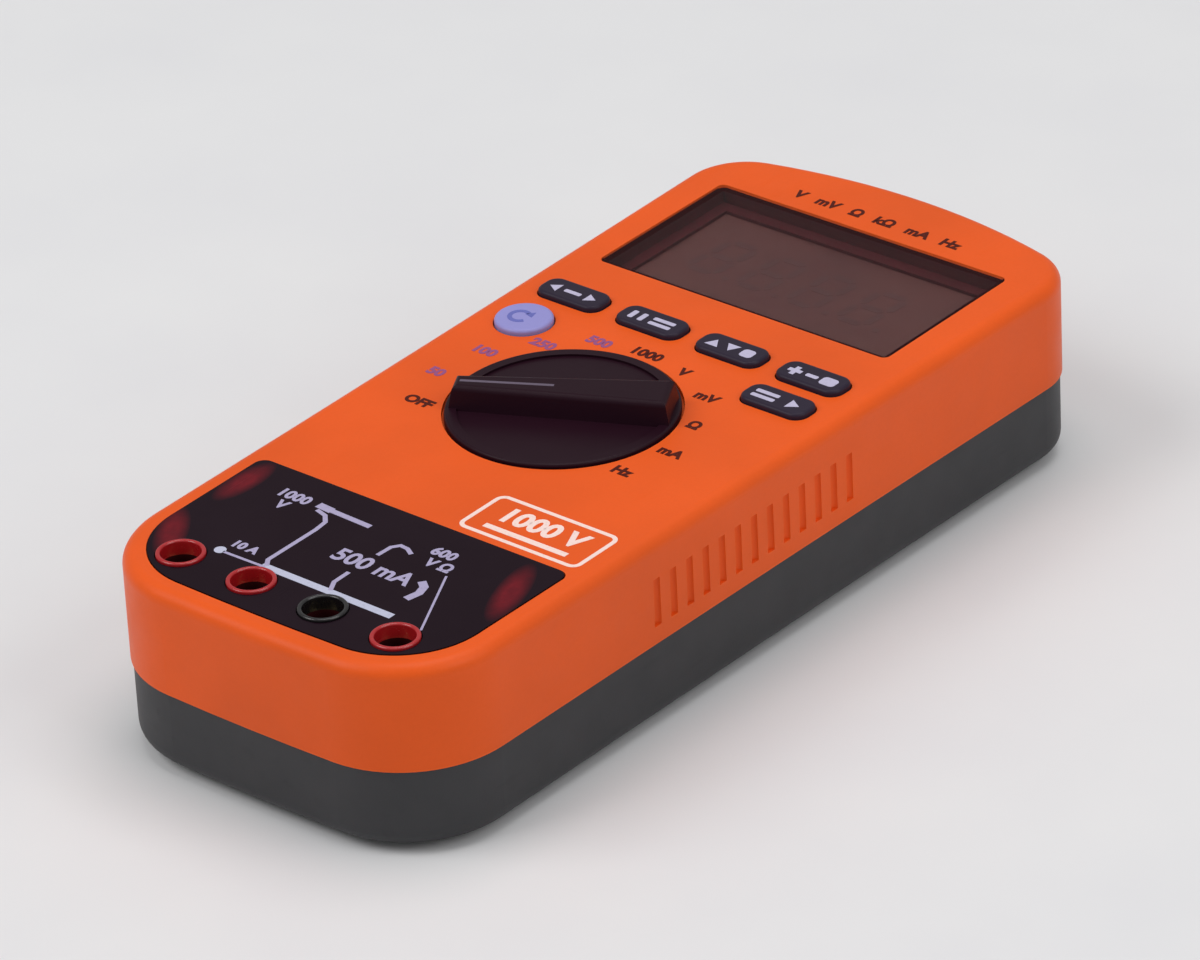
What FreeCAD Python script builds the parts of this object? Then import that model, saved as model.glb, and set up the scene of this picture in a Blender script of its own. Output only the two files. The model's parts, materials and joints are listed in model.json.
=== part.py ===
import FreeCAD, Part

import math
import os

# Hand-held insulation resistance tester, lying on its back.
# Frame: +Z is the outward normal of the face, +Y runs to the display end and +X to the right.
# The origin is below the middle of the case, on the plane of its rear feet. Millimetres.

Vector = FreeCAD.Vector
X_AXIS = Vector(1, 0, 0)
Y_AXIS = Vector(0, 1, 0)
Z_AXIS = Vector(0, 0, 1)

# ---------------------------------------------------------------- driving dimensions

# Outline of the case, seen from the front
case_length = 223.0
half_width_foot = 45.8
half_width_waist = 46.9
half_width_head = 49.0
head_bow = 8.5
foot_bow = 1.5
head_corner_r = 15.0
foot_corner_r = 24.5

# Heights of the case
foot_height = 1.5
rear_depth = 18.5
front_depth = 24.0
wall = 2.4
front_edge_r = 3.0
rear_edge_r = 4.0
rear_step = 0.5

# Joint between the shells
tongue_t = 1.1
tongue_h = 2.0
seal_h = 0.8

# Clearances
fit_gap = 0.05
slide_gap = 0.3
part_gap = 0.2
screw_gap = 0.1
pilot_spare = 1.0
knob_gap = 0.6

# Display
display_flank_margin = 10.0
display_h = 43.0
display_from_head = 41.7
display_corner_r = 1.6
window_t = 0.9
window_sink = 0.1
frame_t = 1.6
lcd_depth = 4.5
lcd_t = 2.8
backlight_t = 3.0
lcd_overlap = 1.7
lcd_lip_w = 3.0
lcd_lip_t = 0.8
zebra_w = 2.0

# Board
board_t = 1.6
board_margin = 1.0
board_below_face = 12.4
board_from_foot = 26.0

# Parts on top of the board
varistor_w = 9.0
varistor_d = 4.0
varistor_h = 8.5
varistor_count = 3
varistor_pitch = 17.5
varistor_x = -8.5
varistor_from_foot = 45.0
thermistor_w = 7.0
thermistor_d = 3.2
thermistor_h = 7.0
thermistor_count = 3
thermistor_pitch = 18.0
thermistor_from_foot = 37.0
resistor_r = 1.7
resistor_length = 14.0
resistor_x = 12.0
resistor_count = 4
resistor_pitch = 4.0
resistor_from_foot = 56.0

# Parts under the board
relay_w = 10.0
relay_d = 12.0
relay_h = 9.5
relay_count = 2
relay_pitch = 16.0
relay_x = 20.0
relay_from_head = 71.0
chip_w = 14.0
chip_h = 1.6
chip_x = -24.0
chip_from_head = 111.0
small_chip_w = 5.0
small_chip_d = 6.2
small_chip_h = 1.5
small_chip_count = 3
small_chip_pitch = 9.0
small_chip_x = -28.0
small_chip_from_head = 88.0
capacitor_r = 5.0
capacitor_h = 13.0
capacitor_count = 3
capacitor_pitch = 12.0
capacitor_x = 20.0
capacitor_from_head = 55.0
sounder_r = 6.0
sounder_h = 6.0
sounder_x = 25.0
sounder_from_head = 95.0
crystal_w = 11.0
crystal_d = 4.6
crystal_h = 3.5
crystal_x = -8.0
crystal_from_head = 121.0
transformer_w = 24.0
transformer_d = 20.0
transformer_h = 15.0
transformer_leg = 4.0
transformer_x = -22.0
transformer_from_head = 63.0
fuse_large_r = 5.15
fuse_large_length = 38.0
fuse_large_from_head = 85.0
fuse_small_r = 3.15
fuse_small_length = 32.0
fuse_small_from_head = 100.0
fuse_cap_w = 6.0
fuse_cap_t = 0.3
fuse_clip_w = 4.0
fuse_clip_t = 0.5
fuse_clip_shoulder = 0.6
fuse_clip_mouth = 0.5

# Buttons
pill_w = 16.8
pill_h = 7.6
pill_corner_r = 2.9
pill_row_count = 4
pill_flank_margin = 15.0
pill_below_display = 37.6
pill_low_step = 11.9
round_button_r = 6.4
round_button_flank_margin = 13.0
round_button_step = 14.4
button_proud = 1.3
button_edge_r = 0.8
button_flange = 1.1
button_flange_t = 1.2
stem_r = 2.6
dome_r = 4.0
dome_h = 3.2
dome_wall = 0.8
keypad_t = 1.2

# Rotary switch
knob_x = -3.2
knob_y = -6.9
knob_r = 24.8
knob_rise = 0.8
knob_sink = 1.0
knob_edge_r = 0.6
bar_rise = 5.6
bar_tip_w = 7.6
bar_tail_w = 12.6
bar_edge_r = 1.3
bar_draft_deg = 10.0
bar_end_margin = 0.9
scoop_depth = 0.5
scoop_rim = 2.6
pointer_w = 0.9
pointer_length = 20.0
pointer_t = 0.5
pointer_end_margin = 1.0
off_angle_deg = 208.5
detent_step_deg = 23.5
detent_count = 11
recess_depth = 1.3
shaft_r = 7.0
collar_t = 2.2
collar_h = 3.4
drive_flats = 8.0
rotor_r = 18.0
rotor_t = 3.4
rotor_hub_r = 6.6
rotor_gap = 2.4
rotor_above_board = 2.2
wiper_t = 0.3
wiper_w = 2.2
wiper_length = 9.0
wiper_radii = (9.5, 12.5, 15.5)
wiper_first_deg = 40.0
wiper_step_deg = 80.0
wiper_root = 3.6
wiper_toe = 0.9
detent_ball_r = 1.5
detent_ball_gap = 0.15
detent_notch_r = 1.2
detent_ring_t = 2.0
detent_ring_h = 6.0
detent_spring_length = 4.0
detent_wire_r = 0.2
detent_coil_gap = 0.24
detent_spring_turns = 4
rotor_screw_r = 1.2
rotor_screw_length = 7.0
rotor_screw_head_h = 1.2
rotor_screw_lap = 1.2

# Terminals
panel_from_foot = 53.1
panel_margin = 5.2
panel_t = 1.2
panel_proud = 0.2
panel_corner_r = 2.5
socket_from_foot = 14.2
socket_count = 4
socket_pitch = 19.05
socket_bore_r = 2.03
socket_tube_t = 0.75
socket_length = 18.0
socket_top_sink = 3.5
well_r = 4.2
collar_ring_r = 5.2
collar_ring_proud = 0.6
collar_edge_r = 0.4
socket_slot_margin = 1.0
block_w = 74.0
block_h = 18.0
block_floor_t = 3.0

# Battery bay
cell_r = 7.1
cell_length = 49.5
cell_nub_r = 2.75
cell_nub_h = 1.0
cell_count = 4
cell_pitch = 14.6
bay_from_foot = 56.0
bay_end_gap = 2.7
bay_wall = 1.6
cover_t = 2.0
cover_tab = 7.6
cover_ledge = 2.0
cover_corner_r = 3.0
cover_edge_r = 0.5
cover_groove_count = 5
cover_groove_pitch = 4.0
cover_groove_length = 26.0
cover_groove_w = 1.6
cover_groove_depth = 0.6
contact_tab_w = 2.5
contact_t = 0.4
contact_h = 10.0
leaf_w = 6.0

# Tilt stand
stand_w = 58.0
stand_t = 3.2
stand_hinge_from_head = 43.0
stand_above_cover = 4.4
stand_barrel_r = 1.9
stand_pin_r = 1.3
stand_pin_length = 2.4
stand_side_gap = 0.5
stand_corner_r = 7.0
stand_edge_r = 0.8
stand_cheek_t = 4.0
finger_scoop_r = 9.0
finger_scoop_depth = 2.4
rib_groove_w = 3.0
rib_groove_depth = 0.8
rib_groove_count = 5
rib_groove_pitch = 9.6
rib_groove_start = 18.0
rib_groove_end = 8.0

# Fasteners
case_screw_r = 1.5
case_screw_head_r = 2.8
case_screw_head_h = 2.0
case_screw_length = 22.0
case_screw_seat = 4.2
case_boss_r = 3.4
rear_boss_r = 4.1
case_screw_from_head = 12.0
case_screw_head_margin = 14.4
case_screw_from_foot = 30.5
case_screw_foot_margin = 8.0
board_screw_r = 1.1
board_screw_head_r = 2.2
board_screw_head_h = 1.4
board_screw_length = 6.0
board_boss_r = 2.7
board_screw_margin = 6.2
board_screw_below_button = 13.2
board_screw_from_foot = 61.0
board_screw_from_head = 9.0
cover_screw_r = 1.4
cover_screw_head_r = 2.5
cover_screw_head_h = 1.2
cover_screw_length = 8.0
cover_boss_r = 3.4
screw_dome = 0.35
slot_w_share = 0.28
slot_l_share = 1.25
slot_depth_share = 0.6

# Rear details
rubber_foot_r = 4.2
rubber_foot_sink = 0.8
rubber_foot_edge_r = 0.6
rubber_foot_head_x = 33.0
rubber_foot_from_head = 27.0
rubber_foot_foot_x = 24.0
rubber_foot_from_foot = 11.5
label_w = 44.0
label_h = 17.0
label_t = 0.25
label_from_head = 25.0
grip_groove_w = 2.2
grip_groove_depth = 0.9
grip_groove_pitch = 5.2
grip_groove_count = 13
grip_groove_h = 11.0
grip_groove_low = 4.0

# ---------------------------------------------------------------- levels worked out

z_back = foot_height
z_split = z_back + rear_depth
z_face = z_split + front_depth
z_under_face = z_face - wall
z_board = z_face - board_below_face
z_board_under = z_board - board_t
z_lcd = z_face - lcd_depth
z_knob_under = z_face - knob_sink
z_knob = z_face + knob_rise
z_bar = z_face + bar_rise
z_rotor = z_board + rotor_above_board
z_collar = z_under_face - collar_h
y_head = case_length / 2
y_foot = -case_length / 2
display_w = 2 * (half_width_head - display_flank_margin)
display_y = y_head - display_from_head
pill_row_y = display_y - pill_below_display
pill_low_y = pill_row_y - pill_low_step
round_button_y = pill_row_y - round_button_step
panel_top_y = y_foot + panel_from_foot
socket_y = y_foot + socket_from_foot
bay_y = y_foot + bay_from_foot
board_foot_y = y_foot + board_from_foot
stand_hinge_y = y_head - stand_hinge_from_head
rest_angle = math.radians(off_angle_deg)
part_files = []


# ---------------------------------------------------------------- helpers

def save(name, shape):
    """Write one node; a list becomes a group of separate solids."""
    if isinstance(shape, list):
        shape = Part.makeCompound(shape)
    shape.exportStep("parts/" + name + ".step")
    part_files.append(name)
    print(name, len(shape.Solids), "solids", round(shape.Volume), "mm3", shape.isValid())


def box(x0, x1, y0, y1, z0, z1):
    return Part.makeBox(x1 - x0, y1 - y0, z1 - z0, Vector(x0, y0, z0))


def centred_box(x, y, width, height, z0, z1):
    return box(x - width / 2, x + width / 2, y - height / 2, y + height / 2, z0, z1)


def cylinder(x, y, r, z0, z1):
    return Part.makeCylinder(r, z1 - z0, Vector(x, y, z0), Z_AXIS)


def tube(x, y, r_out, r_in, z0, z1):
    return cylinder(x, y, r_out, z0, z1).cut(cylinder(x, y, r_in, z0, z1))


def hexagon(corner_r, z0, z1):
    """Six-sided drive on the knob's axis."""
    angles = [math.radians(60 * index) for index in range(7)]
    corners = [Vector(knob_x + corner_r * math.cos(a), knob_y + corner_r * math.sin(a), z0)
               for a in angles]
    return Part.Face(Part.makePolygon(corners)).extrude(Vector(0, 0, z1 - z0))


def upright_edges(solid):
    """Straight edges along Z."""
    found = []
    for edge in solid.Edges:
        if edge.Curve.TypeId == "Part::GeomLine" and abs(edge.Curve.Direction.z) > 0.999:
            found.append(edge)
    return found


def edges_at(solid, z):
    """Edges that lie in the plane at height z."""
    found = []
    for edge in solid.Edges:
        if abs(edge.BoundBox.ZMin - z) < 1e-4 and abs(edge.BoundBox.ZMax - z) < 1e-4:
            found.append(edge)
    return found


def rounded_box(x, y, width, height, z0, z1, corner_r):
    solid = centred_box(x, y, width, height, z0, z1)
    return solid.makeFillet(corner_r, upright_edges(solid))


def pill(x, y, width, height, z0, z1):
    """Bar with round ends, its length along X."""
    reach = (width - height) / 2
    middle = centred_box(x, y, 2 * reach, height, z0, z1)
    ends = [cylinder(x + side * reach, y, height / 2, z0, z1) for side in (-1, 1)]
    return fuse_all([middle] + ends)


def row(count, pitch, middle):
    """Evenly pitched places about a middle."""
    return [middle + (index - (count - 1) / 2) * pitch for index in range(count)]


def fuse_all(shapes):
    return shapes[0].multiFuse(shapes[1:]).removeSplitter()


def flank_x(y):
    """Half-width of the case at a height along its flank."""
    flank = Part.Arc(Vector(half_width_foot, y_foot + foot_bow, 0),
                     Vector(half_width_waist, knob_y, 0),
                     Vector(half_width_head, y_head - head_bow, 0))
    circle = flank.toShape().Curve
    bulge = math.copysign(1, half_width_waist - circle.Center.x)
    return circle.Center.x + bulge * math.sqrt(circle.Radius ** 2 - (y - circle.Center.y) ** 2)


def pair(x, y):
    """A left and a right place at one height."""
    return [(-x, y), (x, y)]


def fillet_corners(solid, radius, side):
    """Round the two sharp upright corners at the head (+1) or foot (-1) of the case."""
    corners = [edge for edge in upright_edges(solid) if edge.CenterOfMass.y * side > 0]
    corners.sort(key=lambda edge: abs(edge.CenterOfMass.x), reverse=True)
    return solid.makeFillet(radius, corners[:2])


def case_prism(inset, z0, z1):
    """Solid of the case's outline, moved in by inset, between two heights."""
    foot_left = Vector(-half_width_foot, y_foot + foot_bow, z0)
    foot_right = Vector(half_width_foot, y_foot + foot_bow, z0)
    head_left = Vector(-half_width_head, y_head - head_bow, z0)
    head_right = Vector(half_width_head, y_head - head_bow, z0)
    sides = [
        Part.Arc(foot_left, Vector(0, y_foot, z0), foot_right),
        Part.Arc(foot_right, Vector(half_width_waist, knob_y, z0), head_right),
        Part.Arc(head_right, Vector(0, y_head, z0), head_left),
        Part.Arc(head_left, Vector(-half_width_waist, knob_y, z0), foot_left),
    ]
    outline = Part.Wire([side.toShape() for side in sides])
    if inset > 0:
        outline = outline.makeOffset2D(-inset, 2)
    solid = Part.Face(outline).extrude(Vector(0, 0, z1 - z0))
    solid = fillet_corners(solid, head_corner_r - inset, 1)
    return fillet_corners(solid, foot_corner_r - inset, -1)


def case_ring(inset_out, inset_in, z0, z1):
    return case_prism(inset_out, z0, z1).cut(case_prism(inset_in, z0, z1))


def turned(shape, angle_deg):
    """Copy of a shape turned about the knob's axis."""
    copy = shape.copy()
    copy.rotate(Vector(knob_x, knob_y, 0), Z_AXIS, angle_deg)
    return copy


def coil(x, y, z, direction, radius, wire_r, length, turns):
    """Compression spring that starts at a point and runs along a direction."""
    path = Part.makeHelix(length / turns, length, radius)
    section = Part.Wire(Part.makeCircle(wire_r, Vector(radius, 0, 0), Y_AXIS))
    spring = Part.Wire(path).makePipeShell([section], True, True)
    spring.Placement = FreeCAD.Placement(Vector(x, y, z), FreeCAD.Rotation(Z_AXIS, direction))
    return spring


def screw(x, y, z_seat, shank_r, length, head_r, head_h):
    """Pan-head screw with a cross slot, its head below the seat and its shank running up."""
    z_low = z_seat - head_h
    head = cylinder(x, y, head_r, z_low, z_seat)
    head = head.makeFillet(head_h * screw_dome, edges_at(head, z_low))
    solid = fuse_all([head, cylinder(x, y, shank_r, z_seat, z_seat + length)])
    slot_w = head_r * slot_w_share
    slot_l = head_r * slot_l_share
    z_slot = z_low + head_h * slot_depth_share
    solid = solid.cut(centred_box(x, y, slot_l, slot_w, z_low, z_slot))
    return solid.cut(centred_box(x, y, slot_w, slot_l, z_low, z_slot))


# ---------------------------------------------------------------- places shared by several pieces

pill_x_outer = flank_x(pill_low_y) - pill_flank_margin
pill_pitch = 2 * pill_x_outer / (pill_row_count - 1)
pills = {}
for pill_x in row(pill_row_count, pill_pitch, 0):
    pills["button_%d" % (len(pills) + 1)] = (pill_x, pill_row_y)
pills["button_5"] = (pill_x_outer, pill_low_y)
round_button_x = round_button_flank_margin - flank_x(round_button_y)
button_points = list(pills.values()) + [(round_button_x, round_button_y)]
socket_xs = row(socket_count, socket_pitch, 0)
common_socket = socket_count - 2
bay_w = cell_count * cell_pitch
bay_h = cell_length + cell_nub_h + 2 * bay_end_gap
z_bay = z_back + cover_t + part_gap
z_bay_roof = z_bay + 2 * cell_r + part_gap
cell_xs = row(cell_count, cell_pitch, 0)
cover_w = bay_w + 2 * cover_ledge
cover_h = bay_h + 2 * cover_tab
stand_foot_y = bay_y + cover_h / 2 + stand_above_cover
cover_screw_ys = [bay_y + side * (bay_h + cover_tab) / 2 for side in (-1, 1)]
stand_recess_depth = 2 * stand_barrel_r + 2 * part_gap
stand_recess_w = stand_w + 2 * stand_side_gap
z_stand_axis = z_back + stand_barrel_r
frame_w = display_w + 2 * frame_t
frame_h = display_h + 2 * frame_t
detent_ring_r = rotor_r + rotor_gap
drive_corner_r = drive_flats / math.sqrt(3)
block_top = z_under_face
block_low = z_face - socket_top_sink - socket_length
head_screw_y = y_head - case_screw_from_head
foot_screw_y = y_foot + case_screw_from_foot
case_screw_points = (pair(flank_x(head_screw_y) - case_screw_head_margin, head_screw_y)
                     + pair(flank_x(foot_screw_y) - case_screw_foot_margin, foot_screw_y))
board_screw_points = [(0, y_head - board_screw_from_head)]
for screw_y in (round_button_y - board_screw_below_button, y_foot + board_screw_from_foot):
    board_screw_points += pair(flank_x(screw_y) - board_screw_margin, screw_y)
rubber_foot_points = (pair(rubber_foot_head_x, y_head - rubber_foot_from_head)
                      + pair(rubber_foot_foot_x, y_foot + rubber_foot_from_foot))
fuses = {
    "fuse_large": (y_head - fuse_large_from_head, fuse_large_r, fuse_large_length),
    "fuse_small": (y_head - fuse_small_from_head, fuse_small_r, fuse_small_length),
}


# ---------------------------------------------------------------- casing

def panel_outline(margin, z0, z1):
    """Outline of the terminal panel: the case's outline cut off straight at the top."""
    solid = case_prism(panel_margin + margin, z0, z1)
    top = panel_top_y - margin
    solid = solid.common(box(-case_length, case_length, -case_length, top, z0, z1))
    corners = [edge for edge in upright_edges(solid) if abs(edge.CenterOfMass.y - top) < 0.01]
    return solid.makeFillet(panel_corner_r, corners)


def make_detent_ring():
    """Notched ring under the face that the detent balls click into."""
    ring = tube(knob_x, knob_y, detent_ring_r + detent_ring_t, detent_ring_r,
                z_under_face - detent_ring_h, z_under_face)
    for index in range(detent_count + 1):
        angle = rest_angle - math.radians(index * detent_step_deg)
        for side in (0, math.pi):
            x = knob_x + detent_ring_r * math.cos(angle + side)
            y = knob_y + detent_ring_r * math.sin(angle + side)
            ring = ring.cut(cylinder(x, y, detent_notch_r,
                                     z_under_face - detent_ring_h, z_under_face))
    return ring


def make_front_casing():
    outer = case_prism(0, z_split, z_face)
    outer = outer.makeFillet(front_edge_r, edges_at(outer, z_face))
    shell = outer.cut(case_prism(wall, z_split, z_under_face))
    shell = shell.cut(case_prism(wall - tongue_t, z_split, z_split + tongue_h + seal_h))

    added = [shell]
    for x, y in case_screw_points:
        added.append(cylinder(x, y, case_boss_r, z_split + tongue_h, z_under_face))
    for x, y in board_screw_points:
        added.append(cylinder(x, y, board_boss_r, z_board, z_under_face))
    collar_r = shaft_r + fit_gap + collar_t
    added.append(cylinder(knob_x, knob_y, collar_r, z_collar, z_under_face))
    shell = fuse_all(added)

    cuts = [
        rounded_box(0, display_y, display_w, display_h, z_under_face, z_face, display_corner_r),
        cylinder(knob_x, knob_y, knob_r + knob_gap, z_face - recess_depth, z_face),
        cylinder(knob_x, knob_y, shaft_r + fit_gap, z_collar, z_face),
        panel_outline(-part_gap, z_face - panel_t, z_face),
        pill(0, socket_y, socket_xs[-1] - socket_xs[0] + 2 * (collar_ring_r + socket_slot_margin),
             2 * (collar_ring_r + socket_slot_margin), z_under_face, z_face),
    ]
    for x, y in pills.values():
        cuts.append(rounded_box(x, y, pill_w + 2 * slide_gap, pill_h + 2 * slide_gap,
                                z_under_face, z_face, pill_corner_r + slide_gap))
    cuts.append(cylinder(round_button_x, round_button_y, round_button_r + slide_gap,
                         z_under_face, z_face))
    for x, y in case_screw_points:
        pilot_top = z_back + case_screw_seat + case_screw_length + pilot_spare
        cuts.append(cylinder(x, y, case_screw_r + screw_gap, z_split + tongue_h, pilot_top))
    for x, y in board_screw_points:
        pilot_top = z_board_under + board_screw_length + pilot_spare
        cuts.append(cylinder(x, y, board_screw_r + screw_gap, z_board, pilot_top))
    for side in (-1, 1):
        for y in row(grip_groove_count, grip_groove_pitch, knob_y):
            cuts.append(grip_groove(side, y))
    for cutter in cuts:
        shell = shell.cut(cutter)
    return shell.removeSplitter()


def grip_groove(side, y):
    """Upright round-bottomed groove in one flank of the case."""
    x = side * (flank_x(y) + grip_groove_w / 2 - grip_groove_depth)
    z_low = z_split + grip_groove_low
    return cylinder(x, y, grip_groove_w / 2, z_low, z_low + grip_groove_h)


def make_rear_casing():
    outer = case_prism(rear_step, z_back, z_split)
    outer = outer.makeFillet(rear_edge_r, edges_at(outer, z_back))
    shell = outer.cut(case_prism(wall, z_back + wall, z_split))
    tongue_out = wall - tongue_t + part_gap
    tongue = case_ring(tongue_out, wall, z_split - wall, z_split + tongue_h)

    added = [shell, tongue]
    z_in_floor = z_back + wall / 2
    for x, y in case_screw_points:
        added.append(cylinder(x, y, rear_boss_r, z_in_floor, z_split + tongue_h))
    added.append(rounded_box(0, bay_y, cover_w + 2 * bay_wall, cover_h + 2 * bay_wall,
                             z_in_floor, z_bay + bay_wall, cover_corner_r + bay_wall))
    added.append(centred_box(0, bay_y, bay_w + 2 * bay_wall, bay_h + 2 * bay_wall,
                             z_back + wall, z_bay_roof + bay_wall))
    for y in cover_screw_ys:
        added.append(cylinder(0, y, cover_boss_r, z_bay, z_bay + cover_screw_length + pilot_spare))
    stand_top = stand_hinge_y + stand_barrel_r + part_gap
    pad_w = stand_recess_w + 2 * stand_cheek_t
    added.append(box(-pad_w / 2, pad_w / 2, stand_foot_y - wall, stand_top + wall,
                     z_in_floor, z_back + stand_recess_depth + bay_wall))
    shell = fuse_all(added)

    cuts = [
        rounded_box(0, bay_y, cover_w + 2 * part_gap, cover_h + 2 * part_gap,
                    z_back, z_bay, cover_corner_r + part_gap),
        centred_box(0, bay_y, bay_w, bay_h, z_bay, z_bay_roof),
        stand_plate(stand_side_gap, stand_top, z_back, z_back + stand_recess_depth),
        finger_scoop(),
        stand_pin_hole(),
    ]
    for x, y in case_screw_points:
        z_seat = z_back + case_screw_seat
        cuts.append(cylinder(x, y, case_screw_head_r + part_gap, z_back, z_seat))
        cuts.append(cylinder(x, y, case_screw_r + screw_gap, z_seat, z_split + tongue_h))
    for y in cover_screw_ys:
        cuts.append(cylinder(0, y, cover_screw_r + screw_gap, z_bay, z_bay + cover_screw_length))
    for x, y in rubber_foot_points:
        cuts.append(cylinder(x, y, rubber_foot_r, z_back, z_back + rubber_foot_sink))
    for x in (cell_xs[0], cell_xs[-1]):
        cuts.append(contact_tab(x, part_gap))
    for cutter in cuts:
        shell = shell.cut(cutter)
    return shell.removeSplitter()


def stand_plate(gap, y_top, z0, z1):
    """Plate with the stand's rounded free corners, grown by a gap on its three free sides."""
    half = stand_w / 2 + gap
    y_free = stand_foot_y - gap
    plate = box(-half, half, y_free, y_top, z0, z1)
    corners = [edge for edge in upright_edges(plate) if abs(edge.CenterOfMass.y - y_free) < 0.01]
    return plate.makeFillet(stand_corner_r + gap, corners)


def finger_scoop():
    """Shallow dish at the stand's free end, for a fingertip."""
    centre = Vector(0, stand_foot_y, z_back + finger_scoop_depth - finger_scoop_r)
    return Part.makeSphere(finger_scoop_r, centre)


def stand_pin_hole():
    half = stand_w / 2 + stand_pin_length + part_gap
    return Part.makeCylinder(stand_pin_r + fit_gap, 2 * half,
                             Vector(-half, stand_hinge_y, z_stand_axis), X_AXIS)


def make_case_seal():
    gap = part_gap
    return case_ring(wall - tongue_t + gap, wall, z_split + tongue_h, z_split + tongue_h + seal_h)


# ---------------------------------------------------------------- display

def make_display():
    window = rounded_box(0, display_y, display_w - 2 * part_gap, display_h - 2 * part_gap,
                         z_face - window_sink - window_t, z_face - window_sink,
                         display_corner_r - part_gap)
    save("display_window", window)

    ring = rounded_box(0, display_y, display_w - 2 * fit_gap, display_h - 2 * fit_gap,
                       z_lcd, z_face - window_sink - window_t, display_corner_r - fit_gap)
    skirt = centred_box(0, display_y, frame_w, frame_h, z_board, z_under_face)
    frame = fuse_all([ring, skirt])
    view_w = display_w - 2 * frame_t
    view_h = display_h - 2 * frame_t
    lcd_w = view_w + 2 * lcd_overlap
    lcd_h = view_h + 2 * lcd_overlap
    frame = frame.cut(centred_box(0, display_y, view_w, view_h, z_lcd + lcd_lip_t, z_face))
    frame = frame.cut(centred_box(0, display_y, view_w - 2 * lcd_lip_w, view_h - 2 * lcd_lip_w,
                                  z_lcd, z_face))
    frame = frame.cut(centred_box(0, display_y, lcd_w, lcd_h, z_board, z_lcd))
    save("display_frame", frame.removeSplitter())

    z_lcd_under = z_lcd - lcd_t
    save("lcd_glass", centred_box(0, display_y, lcd_w - part_gap, lcd_h - part_gap,
                                  z_lcd_under, z_lcd))
    backlight_h = lcd_h - 2 * zebra_w - 4 * part_gap
    save("backlight", centred_box(0, display_y, lcd_w - part_gap, backlight_h,
                                  z_lcd_under - backlight_t, z_lcd_under))
    strips = []
    for side in (-1, 1):
        y = display_y + side * (lcd_h - part_gap - zebra_w) / 2
        strips.append(centred_box(0, y, view_w, zebra_w, z_board, z_lcd_under))
    save("zebra_strips", strips)


# ---------------------------------------------------------------- board and what it carries

def make_main_board():
    board = case_prism(wall + board_margin, z_board_under, z_board)
    board = board.common(box(-case_length, case_length, board_foot_y, case_length,
                             z_board_under, z_board))
    for x, y in case_screw_points:
        board = board.cut(cylinder(x, y, case_boss_r + slide_gap, z_board_under, z_board))
    for x, y in board_screw_points:
        board = board.cut(cylinder(x, y, board_screw_r + screw_gap, z_board_under, z_board))
    return board


def make_keypad_mat():
    """Silicone mat on the board, with one hollow dome under each button."""
    x_reach = pill_x_outer + pill_w / 2
    y_reach = pill_row_y + pill_h / 2
    mat = box(-x_reach, x_reach, pill_row_y - pill_h / 2, y_reach, z_board, z_board + keypad_t)
    lower_left = centred_box(round_button_x, (round_button_y + pill_row_y) / 2,
                             2 * round_button_r, pill_row_y - round_button_y + pill_h,
                             z_board, z_board + keypad_t)
    lower_right = centred_box(pill_x_outer, (pill_low_y + pill_row_y) / 2,
                              pill_w, pill_row_y - pill_low_y + pill_h,
                              z_board, z_board + keypad_t)
    solids = [mat, lower_left, lower_right]
    for x, y in button_points:
        solids.append(Part.makeCone(dome_r, stem_r, dome_h, Vector(x, y, z_board + keypad_t)))
    mat = fuse_all(solids)
    for x, y in button_points:
        mat = mat.cut(Part.makeCone(dome_r - dome_wall, stem_r - dome_wall,
                                    dome_h + keypad_t - dome_wall, Vector(x, y, z_board)))
    return mat


def make_buttons():
    save("keypad_mat", make_keypad_mat())
    z_dome = z_board + keypad_t + dome_h
    z_top = z_face + button_proud
    z_flange = z_under_face - slide_gap
    flange_low = z_flange - button_flange_t
    for name, (x, y) in pills.items():
        cap = rounded_box(x, y, pill_w, pill_h, flange_low, z_top, pill_corner_r)
        cap = cap.makeFillet(button_edge_r, edges_at(cap, z_top))
        flange = rounded_box(x, y, pill_w + 2 * button_flange, pill_h + 2 * button_flange,
                             flange_low, z_flange, pill_corner_r + button_flange)
        save(name, fuse_all([cap, flange, cylinder(x, y, stem_r, z_dome, flange_low)]))
    x, y = round_button_x, round_button_y
    cap = cylinder(x, y, round_button_r, flange_low, z_top)
    cap = cap.makeFillet(button_edge_r, edges_at(cap, z_top))
    flange = cylinder(x, y, round_button_r + button_flange, flange_low, z_flange)
    save("button_blue", fuse_all([cap, flange, cylinder(x, y, stem_r, z_dome, flange_low)]))


def on_board(x, y, width, height, rise):
    return centred_box(x, y, width, height, z_board, z_board + rise)


def under_board(x, y, width, height, drop):
    return centred_box(x, y, width, height, z_board_under - drop, z_board_under)


def lying_cylinder(x0, x1, y, z, r):
    return Part.makeCylinder(r, x1 - x0, Vector(x0, y, z), X_AXIS)


def make_fuses():
    """Two ceramic fuses under the board, each in a pair of spring clips."""
    clips = []
    for name, (y, r, length) in fuses.items():
        z = z_board_under - fuse_clip_t - r
        half = length / 2
        pieces = [lying_cylinder(fuse_cap_w - half, half - fuse_cap_w, y, z, r - fuse_cap_t)]
        for side in (-1, 1):
            x = side * (half - fuse_cap_w / 2)
            pieces.append(lying_cylinder(x - fuse_cap_w / 2, x + fuse_cap_w / 2, y, z, r))
            clips.append(fuse_clip(x, y, z, r))
        save(name, fuse_all(pieces))
    save("fuse_clips", clips)


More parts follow.
